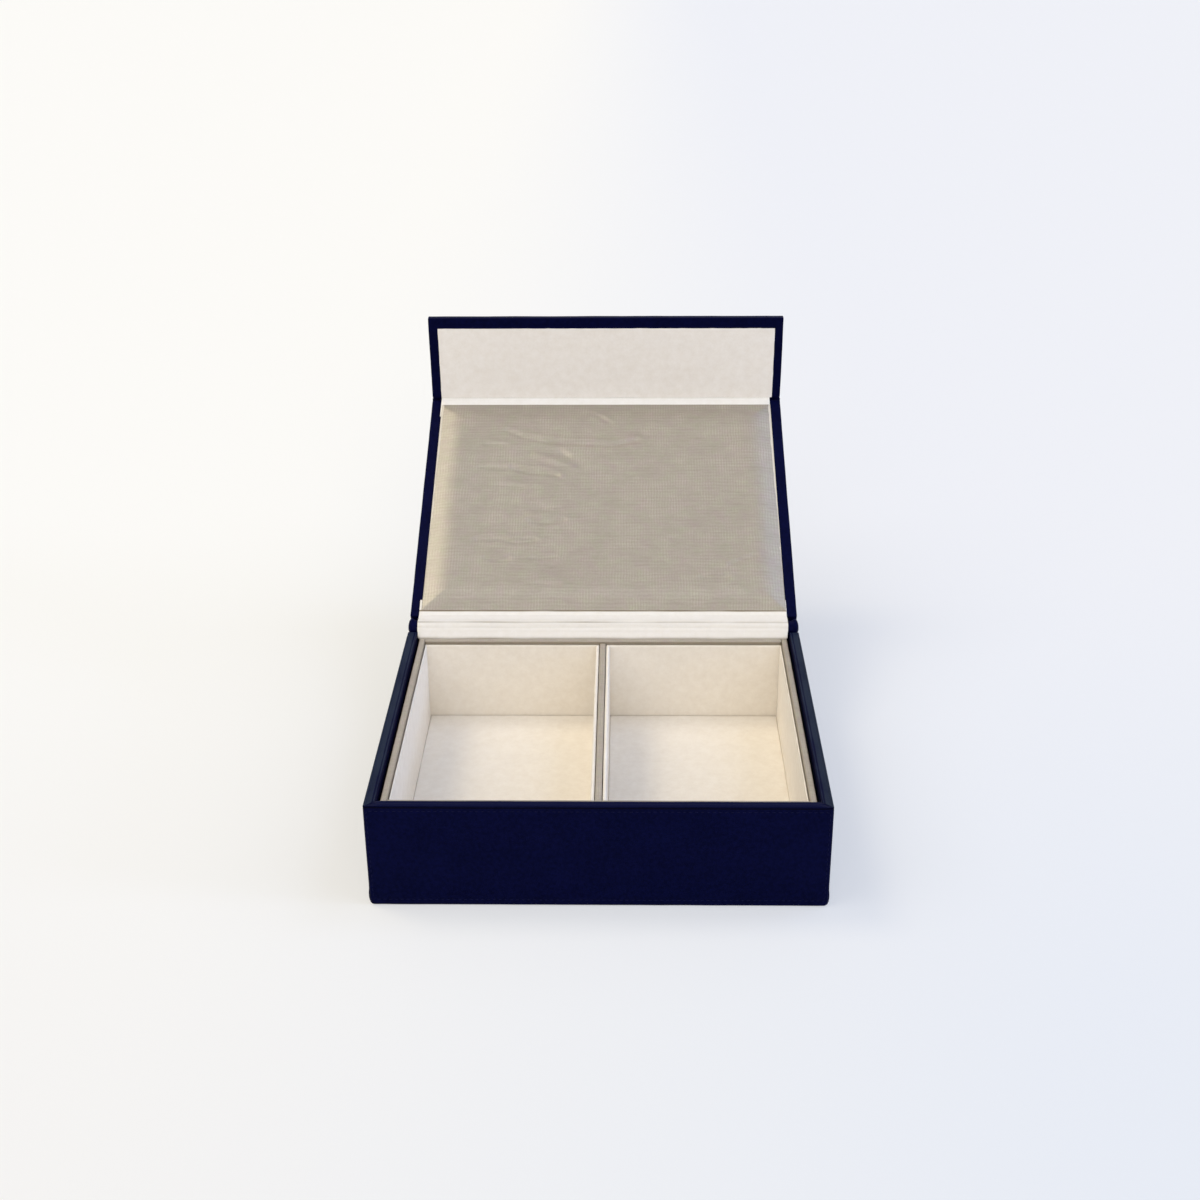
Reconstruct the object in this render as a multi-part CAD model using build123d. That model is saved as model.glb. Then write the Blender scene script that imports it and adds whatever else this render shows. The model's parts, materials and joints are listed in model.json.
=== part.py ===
from build123d import *
import os
from math import acos, atan2, cos, degrees, hypot, radians, sin

# A leather keepsake box: a wrapped case, a silk-covered tray with two suede wells, a padded lid
# hinged along the back like a book cover, and a flap hinged to the lid that covers the front.
# Millimetres. +Z is up, +Y runs from front to back, the origin is the centre of the bottom face.
# The box stands open: the lid leans back from its hinge and the flap stands up from the lid.

# Case
case_width = 260.0
case_depth = 216.5
rim_height = 67.0
leather = 0.9
wall_board = 4.4
wall = wall_board + 2 * leather
upright_round = 1.2
front_edge_round = 1.2
side_edge_round = 2.8
turn_in = 20.0
under_tuck = 10.0
bottom_sheet = 0.4
bottom_sheet_inset = 3.0
bottom_sheet_corner = 4.0
bottom_board_thickness = 3.2

# Back hinge: a leather bead round a cord, with the hinge line at its centre
bead_radius = 4.5
bead_end_round = 1.2
bead_clearance = 0.4
bead_seat_gap = 0.1
hinge_above_rim = 0.1

# Lid and flap
panel_board = 3.4
panel = panel_board + 2 * leather
panel_round = 0.6
panel_turn_in = 14.0
lid_start = 10.2
flap_axis_from_hinge = 215.6
board_to_flap_axis = 2.8
flap_reach = 65.1
lid_lean = 25.7
flap_turn = 66.5

# Lining strips and flap lining
lining = 0.5
lining_gap = 0.02
flap_lining_half_width = 124.2
back_strip_half_width = 123.6
back_strip_reach = 23.5
back_strip_tray_gap = 0.45
back_strip_knee_below_tray_rim = 0.4
back_strip_knee_bend = 1.5
back_strip_tail = 12.0
front_strip_start = 195.7
front_strip_half_width = 123.4
front_strip_bend = 1.0
flap_lining_start = 3.2
flap_lining_end = 57.2
flap_lining_corner = 2.0

# Pad: silk over foam on a card
pad_half_width = 123.0
pad_start = 14.4
pad_end = 207.4
pad_edge = 0.8
pad_shoulder = 3.2
pad_crown = 3.6
pad_bevel = 11.5
pad_crown_inset = 45.0
pad_card_thickness = 0.7
silk = 0.35

# Tray
tray_half_width = 122.1
tray_front_gap = 1.8
tray_length = 194.7
tray_card = 1.8
tray_board = 3.1
tray_wall = tray_board + 2 * silk
tray_rim_below_rim = 2.8
divider_below_tray_rim = 1.4
tray_round = 0.6

# Suede liners of the two wells, thin against the tray walls and thicker beside the divider
suede = 0.4
liner_card = 0.4
liner_gap = 0.1
divider_liner_card = 1.4
divider_liner_gap = 0.4
floor_card = 1.3
liner = liner_card + 2 * suede
divider_liner = divider_liner_card + 2 * suede
liner_below_tray_rim = 2.0
liner_round = 0.55
divider_liner_round = 1.0
floor_round = 0.3

# Magnets that hold the flap shut
magnet_radius = 6.0
magnet_thickness = 2.0
magnet_fit = 0.05
magnet_half_spacing = 80.0
magnet_from_flap_axis = 50.0

# Worked out from the sizes above
half_width = case_width / 2
half_depth = case_depth / 2
hinge_y = half_depth - bead_radius
hinge_z = rim_height + hinge_above_rim
flap_axis_below_face = panel / 2
notch_front = hinge_y - bead_radius - bead_clearance
notch_floor = hinge_z - bead_radius - bead_seat_gap
case_bottom = bottom_sheet
board_bottom = case_bottom + leather
tray_bottom = board_bottom + bottom_board_thickness
tray_front = -half_depth + wall + tray_front_gap
tray_back = tray_front + tray_length
tray_floor_top = tray_bottom + tray_card
tray_rim = rim_height - tray_rim_below_rim
closed_magnet_height = hinge_z + flap_axis_below_face - magnet_from_flap_axis

hinge_line = Pos(0, hinge_y, hinge_z)
lid_place = hinge_line * Rot(lid_lean, 0, 0)
flap_place = lid_place * Pos(0, flap_axis_from_hinge, -flap_axis_below_face) * Rot(flap_turn, 0, 0)

pieces = {}


def block(x, y, z):
    """A box between a low and a high limit along each axis."""
    limits = (x, y, z)
    middle = [(low + high) / 2 for low, high in limits]
    size = [high - low for low, high in limits]
    return Pos(*middle) * Box(*size)


def across(half):
    """Limits of a piece that is centred on the middle of the box."""
    return (-half, half)


def polar(radius, angle):
    """The point at a radius and an angle in degrees, counted from +Y towards +Z."""
    return (radius * cos(radians(angle)), radius * sin(radians(angle)))


def bend_corner(radius, start_angle, end_angle):
    """Where the tangents at two angles of a circle meet, so that an arc between them fits it."""
    half_turn = (end_angle - start_angle) / 2
    return polar(radius / cos(radians(half_turn)), start_angle + half_turn)


def strip(points, bends, thickness, half):
    """A strip of even thickness along a bent path of (Y, Z) points, centred across the box."""
    path = FilletPolyline(*points, radius=bends)
    section = Plane.YZ * trace(path, thickness)
    return extrude(section, half, both=True)


def wrapped(x, y, z, skin, rounding):
    """A board standing in a cover that goes up one face, over the top and down the other."""
    outer = block(x, y, z)
    outer = fillet(outer.edges().group_by(Axis.Z)[-1], rounding)
    core = block((x[0] + skin, x[1] - skin), (y[0] + skin, y[1] - skin), (z[0], z[1] - skin))
    return core, outer - core


def wrapped_panel(y, face):
    """Board and leather of a lid or flap: leather outside, round the edges and turned in."""
    outer = block(across(half_width), y, (face - panel, face))
    outer = fillet(outer.edges(), panel_round)
    board = block(
        across(half_width - leather),
        (y[0] + leather, y[1] - leather),
        (face - panel + leather, face - leather),
    )
    window = block(
        across(half_width - panel_turn_in),
        (y[0] + panel_turn_in, y[1] - panel_turn_in),
        (face - leather, face),
    )
    return board, outer - board - window


def discs(place, radius):
    """The pair of magnet discs, or their pockets, standing up from a place."""
    disc = Cylinder(radius, magnet_thickness, align=(Align.CENTER, Align.CENTER, Align.MIN))
    pair = [Pos(x, 0, 0) * disc for x in across(magnet_half_spacing)]
    return place * (Part() + pair)


# Boards of the case
board_z = (board_bottom, rim_height - leather)
board_inner_x = half_width - leather - wall_board
board_inner_y = half_depth - leather - wall_board
full_x = across(half_width - leather)
back_board_top = notch_floor - leather
front_board_y = (-half_depth + leather, -board_inner_y)
case_magnet_place = Pos(0, front_board_y[0], closed_magnet_height) * Rot(-90, 0, 0)
magnet_pockets = discs(case_magnet_place, magnet_radius)
board_notch = block(
    across(case_width), (notch_front - leather, case_depth), (back_board_top, case_depth)
)

pieces["bottom_board"] = block(
    across(board_inner_x), across(board_inner_y), (board_bottom, tray_bottom)
)
pieces["front_board"] = block(full_x, front_board_y, board_z) - magnet_pockets
pieces["back_board"] = block(
    full_x, (board_inner_y, half_depth - leather), (board_bottom, back_board_top)
)
for name, side in (("left", -1), ("right", 1)):
    board_x = sorted((side * board_inner_x, side * (half_width - leather)))
    pieces[f"{name}_board"] = block(board_x, across(board_inner_y), board_z) - board_notch
pieces["front_magnets"] = discs(case_magnet_place, magnet_radius - magnet_fit)


def case_outline():
    """The outside of the leather: tight upright edges, rounder edges along the bottom sides."""
    height = (case_bottom, rim_height)
    front_view = block(across(half_width), across(half_depth), height)
    bottom = front_view.edges().group_by(Axis.Z)[0]
    front_view = fillet(bottom.filter_by(Axis.Y), side_edge_round)
    side_view = block(across(half_width), across(half_depth), height)
    bottom = side_view.edges().group_by(Axis.Z)[0]
    side_view = fillet(bottom.filter_by(Axis.X), front_edge_round)
    plan = block(across(half_width), across(half_depth), height)
    plan = fillet(plan.edges().filter_by(Axis.Z), upright_round)
    return front_view & side_view & plan


def mitre_wedge(turn):
    """The region of one wall, cut off at 45 degrees where the leather of two walls meets."""
    run_x, run_y = (half_width, half_depth) if turn % 180 == 0 else (half_depth, half_width)
    depth = wall + under_tuck
    outline = Polygon(
        (-run_x - 1, -run_y - 1),
        (run_x + 1, -run_y - 1),
        (run_x - depth, -run_y + depth),
        (-run_x + depth, -run_y + depth),
        align=None,
    )
    return Rot(0, 0, turn) * extrude(outline, rim_height)


# Leather of the case: up the outside, over the rim, down inside, and tucked under the bottom
boards = Part() + [pieces[f"{name}_board"] for name in ("front", "back", "left", "right", "bottom")]
inside = block(across(half_width - wall), across(half_depth - wall), (board_bottom, rim_height))
below_turn_in = block(
    across(board_inner_x), across(board_inner_y), (board_bottom, rim_height - turn_in)
)
tuck_opening = block(
    across(half_width - under_tuck), across(half_depth - under_tuck), (0, board_bottom)
)
bead_notch = block(across(case_width), (notch_front, case_depth), (notch_floor, case_depth))
case_leather = case_outline() - boards - magnet_pockets
case_leather = case_leather - inside - below_turn_in - tuck_opening - bead_notch

pieces["front_leather"] = case_leather & mitre_wedge(0)
pieces["right_leather"] = case_leather & mitre_wedge(90)
pieces["left_leather"] = case_leather & mitre_wedge(-90)

# The back leather also runs up behind the hinge cord, round it, and down to the inside again
bead = hinge_line * Rot(0, 90, 0) * Cylinder(bead_radius, case_width)
bead = fillet(bead.edges().filter_by(GeomType.CIRCLE), bead_end_round)
cord = hinge_line * Rot(0, 90, 0) * Cylinder(bead_radius - leather, case_width - 2 * leather)
bead_back = block(
    across(half_width - bead_end_round),
    (half_depth - leather, half_depth),
    (back_board_top, hinge_z),
)
bead_seat = block(
    across(half_width - wall),
    (half_depth - wall, half_depth - leather),
    (back_board_top, notch_floor + leather),
)
pieces["back_leather"] = (case_leather & mitre_wedge(180)) + bead_back + bead_seat + bead - cord
pieces["hinge_cord"] = cord

sheet = Pos(0, 0, bottom_sheet / 2) * Box(
    case_width - 2 * bottom_sheet_inset, case_depth - 2 * bottom_sheet_inset, bottom_sheet
)
pieces["bottom_cover"] = fillet(sheet.edges().filter_by(Axis.Z), bottom_sheet_corner)

# Tray: a card floor, four walls and a divider, each board wrapped in silk
tray_inner_x = tray_half_width - tray_wall
tray_inner_y = (tray_front + tray_wall, tray_back - tray_wall)
tray_z = (tray_floor_top, tray_rim)
pieces["tray_floor"] = block(
    across(tray_half_width), (tray_front, tray_back), (tray_bottom, tray_floor_top)
)
tray_walls = {
    "front": (across(tray_inner_x), (tray_front, tray_inner_y[0]), tray_z),
    "back": (across(tray_inner_x), (tray_inner_y[1], tray_back), tray_z),
    "left": ((-tray_half_width, -tray_inner_x), (tray_front, tray_back), tray_z),
    "right": ((tray_inner_x, tray_half_width), (tray_front, tray_back), tray_z),
    "divider": (
        across(tray_wall / 2),
        tray_inner_y,
        (tray_floor_top, tray_rim - divider_below_tray_rim),
    ),
}
for name, limits in tray_walls.items():
    core, cover = wrapped(*limits, silk, tray_round)
    pieces[f"tray_{name}_board"] = core
    pieces[f"tray_{name}_silk"] = cover

# Wells: four lined cards standing round a lined floor, on each side of the divider
well_y = (tray_inner_y[0] + liner_gap, tray_inner_y[1] - liner_gap)
well_inner_y = (well_y[0] + liner, well_y[1] - liner)
liner_z = (tray_floor_top, tray_rim - liner_below_tray_rim)
floor_z = (tray_floor_top, tray_floor_top + floor_card + suede)
near_divider = tray_wall / 2 + divider_liner_gap
near_wall = tray_inner_x - liner_gap
for well, wall_side, divider_side in (("left", "left", "right"), ("right", "right", "left")):
    side = -1 if well == "left" else 1
    well_x = sorted((side * near_divider, side * near_wall))
    divider_face = side * (near_divider + divider_liner)
    wall_face = side * (near_wall - liner)
    inner_x = sorted((divider_face, wall_face))
    divider_x = sorted((side * near_divider, divider_face))
    wall_x = sorted((wall_face, side * near_wall))
    liners = {
        "floor": (inner_x, well_inner_y, floor_z, floor_round),
        "front": (well_x, (well_y[0], well_inner_y[0]), liner_z, liner_round),
        "back": (well_x, (well_inner_y[1], well_y[1]), liner_z, liner_round),
        divider_side: (divider_x, well_inner_y, liner_z, divider_liner_round),
        wall_side: (wall_x, well_inner_y, liner_z, liner_round),
    }
    for name, (x, y, z, rounding) in liners.items():
        core, cover = wrapped(x, y, z, suede, rounding)
        pieces[f"{well}_well_{name}_card"] = core
        pieces[f"{well}_well_{name}_suede"] = cover

# Lid, in its own frame: +Y away from the hinge, +Z out of the inner face
lid_end = flap_axis_from_hinge - board_to_flap_axis
lid_board, lid_leather = wrapped_panel((lid_start, lid_end), 0)
pieces["lid_board"] = lid_place * lid_board
pieces["lid_leather"] = lid_place * lid_leather


def pad_form(inset):
    """The pad's outside drawn in by an inset: upright sides, a bevel, a low crown."""
    middle = (pad_start + pad_end) / 2
    half_length = (pad_end - pad_start) / 2
    base = lining + 2 * lining_gap
    rings = [(0, 0), (0, pad_edge), (pad_bevel, pad_shoulder), (pad_crown_inset, pad_crown)]
    sections = [
        Pos(0, middle, base + max(height - inset, 0))
        * Rectangle(2 * (pad_half_width - inset - drawn_in), 2 * (half_length - inset - drawn_in))
        for drawn_in, height in rings
    ]
    return loft(sections, ruled=True)


# Pad of the lid: a card, foam on it, and silk drawn over both
pad_inside = pad_form(silk)
card_top = lining + 2 * lining_gap + pad_card_thickness
below_card_top = block(across(case_width), (0, case_depth), (0, card_top))
pieces["pad_card"] = lid_place * (pad_inside & below_card_top)
pieces["pad_foam"] = lid_place * (pad_inside - below_card_top)
pieces["pad_cover"] = lid_place * (pad_form(0) - pad_inside)

# Flap, in its own frame: the axis runs through the middle of its thickness
flap_face = panel / 2
flap_magnet_place = Pos(0, magnet_from_flap_axis, panel_board / 2 - magnet_thickness)
flap_board, flap_leather = wrapped_panel((board_to_flap_axis, flap_reach), flap_face)
pieces["flap_board"] = flap_place * (flap_board - discs(flap_magnet_place, magnet_radius))
pieces["flap_leather"] = flap_place * flap_leather
pieces["flap_magnets"] = flap_place * discs(flap_magnet_place, magnet_radius - magnet_fit)
flap_lining = block(
    across(flap_lining_half_width),
    (flap_lining_start, flap_lining_end),
    (flap_face, flap_face + lining),
)
free_corners = flap_lining.edges().filter_by(Axis.Z).group_by(Axis.Y)[-1]
pieces["flap_lining"] = flap_place * fillet(free_corners, flap_lining_corner)

# Back hinge strips, in the frame of the hinge line. The lining comes off the lid, over the bead,
# straight to the tray's back rim, and down behind the tray
lid_corner_y, lid_corner_z = polar(lid_start, lid_lean)
outer_corner = (
    lid_corner_y + panel * sin(radians(lid_lean)),
    lid_corner_z - panel * cos(radians(lid_lean)),
)
web_top = (
    outer_corner[0] - leather * sin(radians(lid_lean)),
    outer_corner[1] + leather * cos(radians(lid_lean)),
)
web = Polygon(
    (bead_radius, web_top[1] - leather),
    (bead_radius, web_top[1]),
    web_top,
    outer_corner,
    align=None,
)
pieces["lid_hinge_leather"] = hinge_line * (
    extrude(Plane.YZ * web, half_width - bead_end_round, both=True)
)

strip_radius = bead_radius + lining_gap + lining / 2
strip_lift = lining_gap + lining / 2
knee_y = tray_back + back_strip_tray_gap - hinge_y
knee_z = tray_rim - back_strip_knee_below_tray_rim - hinge_z
leaves_bead = 360 + degrees(atan2(knee_z, knee_y) - acos(strip_radius / hypot(knee_y, knee_z)))
lid_line = (
    back_strip_reach * cos(radians(lid_lean)) - strip_lift * sin(radians(lid_lean)),
    back_strip_reach * sin(radians(lid_lean)) + strip_lift * cos(radians(lid_lean)),
)
lid_bend_along = (strip_radius - strip_lift * cos(radians(lid_lean))) / sin(radians(lid_lean))
lid_bend = (
    lid_bend_along * cos(radians(lid_lean)) - strip_lift * sin(radians(lid_lean)),
    strip_radius,
)
pieces["lid_hinge_lining"] = hinge_line * strip(
    [
        lid_line,
        lid_bend,
        bend_corner(strip_radius, 90, leaves_bead),
        (knee_y, knee_z),
        (knee_y, knee_z - back_strip_tail),
    ],
    [lining, strip_radius, back_strip_knee_bend],
    lining,
    back_strip_half_width,
)

# Flap hinge strips, in the lid's frame
web_radius = panel / 2 - leather / 2
web_end = polar(board_to_flap_axis, flap_turn)
web_normal = polar(web_radius, flap_turn - 90)
flap_axis = Pos(0, flap_axis_from_hinge, -flap_axis_below_face)
pieces["flap_hinge_leather"] = lid_place * flap_axis * strip(
    [
        (-board_to_flap_axis, -web_radius),
        bend_corner(web_radius, -90, flap_turn - 90),
        (web_end[0] + web_normal[0], web_end[1] + web_normal[1]),
    ],
    [web_radius],
    leather,
    half_width - panel_round,
)
strip_offset = panel / 2 + strip_lift
fold = bend_corner(strip_offset, 90, flap_turn + 90)
strip_end = polar(flap_lining_start - lining_gap, flap_turn)
strip_normal = polar(strip_offset, flap_turn + 90)
pieces["flap_hinge_lining"] = lid_place * flap_axis * strip(
    [
        (front_strip_start - flap_axis_from_hinge, strip_offset),
        fold,
        (strip_end[0] + strip_normal[0], strip_end[1] + strip_normal[1]),
    ],
    [front_strip_bend],
    lining,
    front_strip_half_width,
)

os.makedirs("parts", exist_ok=True)
for name, solid in pieces.items():
    export_step(solid, f"parts/{name}.step")
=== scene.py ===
import json
from math import acos, atan2, copysign, cos, exp, hypot, pi, radians, sin, sqrt, tan

import bmesh
import bpy
import numpy as np
from mathutils import Matrix, Vector, noise


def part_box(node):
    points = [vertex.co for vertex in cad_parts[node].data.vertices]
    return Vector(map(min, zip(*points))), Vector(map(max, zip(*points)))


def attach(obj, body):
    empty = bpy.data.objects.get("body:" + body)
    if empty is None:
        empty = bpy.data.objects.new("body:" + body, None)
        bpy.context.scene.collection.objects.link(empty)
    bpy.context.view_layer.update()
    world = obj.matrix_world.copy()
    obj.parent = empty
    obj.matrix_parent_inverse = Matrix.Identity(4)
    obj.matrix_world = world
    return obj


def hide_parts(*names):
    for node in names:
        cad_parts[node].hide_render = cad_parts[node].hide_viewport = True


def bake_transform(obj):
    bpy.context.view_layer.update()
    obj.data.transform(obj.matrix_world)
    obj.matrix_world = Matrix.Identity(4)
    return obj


# A leather keepsake box: a leather-wrapped case, a silk tray with two suede wells, a lid with a
# silk pad, and a flap lined with suede. Sizes are in millimetres and become metres in placed().
MM = 0.001

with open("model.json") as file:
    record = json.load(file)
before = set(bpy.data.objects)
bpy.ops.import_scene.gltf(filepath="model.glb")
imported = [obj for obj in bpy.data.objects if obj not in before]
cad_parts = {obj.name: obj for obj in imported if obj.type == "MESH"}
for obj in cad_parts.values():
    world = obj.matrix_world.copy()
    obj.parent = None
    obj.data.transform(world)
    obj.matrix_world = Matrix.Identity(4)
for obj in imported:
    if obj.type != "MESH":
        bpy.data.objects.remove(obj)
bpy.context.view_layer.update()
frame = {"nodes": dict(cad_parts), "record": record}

# Case
HALF_WIDTH = 130.0
HALF_DEPTH = 108.25
RIM = 67.0
FRONT_RIM = RIM + 0.3
WALL = 6.2
CASE_BOTTOM = 0.4
FOOT = 0.1
SKIN = 0.8
TURN_IN = 20.0
TUCK = 10.0
UPRIGHT_ROUND = 1.2
FRONT_EDGE_ROUND = 1.2
SIDE_EDGE_ROUND = 2.8
RIM_OUTER_ROUND = 0.35
RIM_INNER_ROUND = 0.7
RIM_SEAM = 0.4
RIM_FOLD_DEPTH = 0.22
SIDE_CROWN = 0.03
FRONT_CROWN = 0.45
FRONT_FULLNESS = 0.3
SEWN_IN = 2.0
SEWN_BELOW_RIM = 2.9
SEWN_ABOVE_BOTTOM = 3.6
SEWN_DEPTH = 0.16
MITRE_DEPTH = 0.3
PANEL_MITRE_DEPTH = 0.22

# Hinges
BEAD = 4.5
KNOB = 2.6
KNOB_LENGTH = 6.8
HINGE = (0.0, HALF_DEPTH - BEAD, RIM + 0.1)
NOTCH_FRONT = 9.4
NOTCH_FLOOR = 62.5
LEAN = radians(25.7)
TURN = radians(66.5)
PANEL = 5.2
LID_START = 10.2
FLAP_AXIS = 215.6
BOARD_TO_AXIS = 2.8
LID_END = FLAP_AXIS - BOARD_TO_AXIS
FLAP_REACH = 65.1
LINING = 0.5
LINING_GAP = 0.02
WEB = 0.9

# Pad
PAD_HALF_WIDTH = 123.0
PAD_START = 14.4
PAD_END = 207.4
PAD_BASE = LINING + 2 * LINING_GAP
PAD_EDGE = 0.5
PAD_SHOULDER = 3.3
PAD_BEVEL = 12.4
PAD_CROWN = 0.4
PAD_CROWN_INSET = 45.0
PAD_UNDERCUT = 1.1
PAD_TAPER = 1.1
PAD_WAVES = 0.25
MOST_SWELL = 0.6
FREE_WITHIN = 24.0

case_place = Matrix.Identity(4)
hinge_place = Matrix.Translation(HINGE)
lid_place = hinge_place @ Matrix.Rotation(LEAN, 4, "X")
flap_axis_place = lid_place @ Matrix.Translation((0, FLAP_AXIS, -PANEL / 2))
flap_place = flap_axis_place @ Matrix.Rotation(TURN, 4, "X")


# Meshes

def placed(points, place):
    """Points in millimetres in the frame of a place, as metres in the whole box's frame."""
    turn = np.array(place)
    return (np.asarray(points, float) @ turn[:3, :3].T + turn[:3, 3]) * MM


def points_in(place, piece):
    """A piece's points in millimetres in the frame of a place."""
    turn_back = np.array(place.inverted())
    points = np.array([vertex.co for vertex in piece.data.vertices]) / MM
    return points @ turn_back[:3, :3].T + turn_back[:3, 3]


def in_scene(name, data):
    """Puts an object with its mesh, lamp or lens into the scene."""
    thing = bpy.data.objects.new(name, data)
    bpy.context.scene.collection.objects.link(thing)
    return thing


def new_piece(name, points, faces, place=case_place):
    """A smooth-shaded mesh object from points in the frame of a place. Doubled points are merged,
    flat faces dropped, and all faces are turned outwards."""
    mesh = bpy.data.meshes.new(name)
    mesh.from_pydata(placed(points, place).tolist(), [], faces)
    work = bmesh.new()
    work.from_mesh(mesh)
    bmesh.ops.remove_doubles(work, verts=work.verts, dist=0.002 * MM)
    bmesh.ops.dissolve_degenerate(work, edges=work.edges, dist=0.001 * MM)
    bmesh.ops.recalc_face_normals(work, faces=work.faces)
    work.to_mesh(mesh)
    work.free()
    mesh.shade_smooth()
    return in_scene(name, mesh)


def join(name, pieces):
    """One object from several meshes."""
    work = bmesh.new()
    for piece in pieces:
        work.from_mesh(piece.data)
        bpy.data.objects.remove(piece)
    mesh = bpy.data.meshes.new(name)
    work.to_mesh(mesh)
    work.free()
    mesh.shade_smooth()
    return in_scene(name, mesh)


def ripple(point, cell, seed):
    """Smooth noise from -1 to 1 whose lumps are about one cell across, in millimetres."""
    return noise.noise(Vector(point) / cell + Vector((seed * 7.3, seed * 3.1, seed * 5.7)))


def dip(distance, width):
    """A soft groove's profile: 1 in its middle, fading to 0 over a width."""
    return exp(-(distance / width) ** 2)


def distances_along(path):
    """The distance of each point of a path from its start."""
    steps = np.linalg.norm(np.diff(path, axis=0), axis=1)
    return np.concatenate([[0], np.cumsum(steps)])


def tube_faces(sections, loop):
    """Faces between closed sections whose points are numbered alike, one section after another."""
    count = len(loop)
    return [(c * count + a, c * count + b, (c + 1) * count + b, (c + 1) * count + a)
            for c in range(sections - 1) for a, b in zip(loop, loop[1:] + loop[:1])]


def stations(low, high, rounding, pitch, edge_marks=()):
    """Grid lines from low to high: close together over the rounded edges, then at a pitch."""
    turns = [rounding * (1 - tan(radians(angle))) for angle in (45, 30, 15, 0)]
    edge = turns + [mark for mark in edge_marks if mark > rounding]
    start = [low + mark for mark in edge]
    end = [high - mark for mark in reversed(edge)]
    count = max(1, round((end[0] - start[-1]) / pitch))
    step = (end[0] - start[-1]) / count
    return start + [start[-1] + step * k for k in range(1, count)] + end


def box_surface(x, y, z):
    """Points and faces of a box whose sides are divided at the given grid lines."""
    lines = (x, y, z)
    last = [len(line) - 1 for line in lines]
    index, points, faces = {}, [], []

    def point(cell):
        if cell not in index:
            index[cell] = len(points)
            points.append([line[i] for line, i in zip(lines, cell)])
        return index[cell]

    for axis in range(3):
        u, v = (axis + 1) % 3, (axis + 2) % 3
        for side in (0, last[axis]):
            for a in range(last[u]):
                for b in range(last[v]):
                    quad = []
                    for da, db in ((0, 0), (1, 0), (1, 1), (0, 1)):
                        cell = [0, 0, 0]
                        cell[axis], cell[u], cell[v] = side, a + da, b + db
                        quad.append(point(tuple(cell)))
                    faces.append(quad)
    return np.array(points, float), faces


def soft_slab(name, low, high, rounding, pitch, wobble, seed, place=case_place, edge_marks=(),
              dent=None):
    """A rounded box with slightly uneven sides, as leather or cloth over board has."""
    low, high = np.array(low, float), np.array(high, float)
    grid = [stations(low[k], high[k], rounding, pitch, edge_marks if high[k] - low[k] > 40 else ())
            for k in range(3)]
    points, faces = box_surface(*grid)
    core = np.clip(points, low + rounding, high - rounding)
    away = points - core
    away /= np.linalg.norm(away, axis=1)[:, None]
    lumps = np.array([wobble * (ripple(p, 24.0, seed) + 0.4 * ripple(p, 6.0, seed + 1))
                      for p in points])
    if dent:
        lumps -= np.array([dent(p, n) for p, n in zip(points, away)])
    return new_piece(name, core + away * (rounding + lumps)[:, None], faces, place)


# Case leather

# Grid lines at distances from a wall's end. The last one starts the wall's even stretch
END_MARKS = [0, 0.12, 0.25, 0.4, 0.6, 0.9, 1.3, 1.7, 2.0, 2.3, 2.8, 3.6, 5.0, 7.0]
EVEN_FROM = 12.5
PLAIN_MARKS = [9.5, EVEN_FROM]
NOTCH_MARKS = [NOTCH_FRONT + step for step in (-0.01, 0.0, 0.1, 0.35, 0.75, 1.2)] + [EVEN_FROM]


def round_offset(radius, rise):
    """How far a rounded edge of a radius has drawn back at a rise from its flat side."""
    if rise >= radius:
        return 0.0
    return radius - sqrt(radius ** 2 - (radius - rise) ** 2)


def fullness(height):
    """How far the leather stands out from the board, more towards the bottom."""
    return 0.12 + 0.42 * sqrt(max(0.0, 1 - height / RIM))


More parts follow.
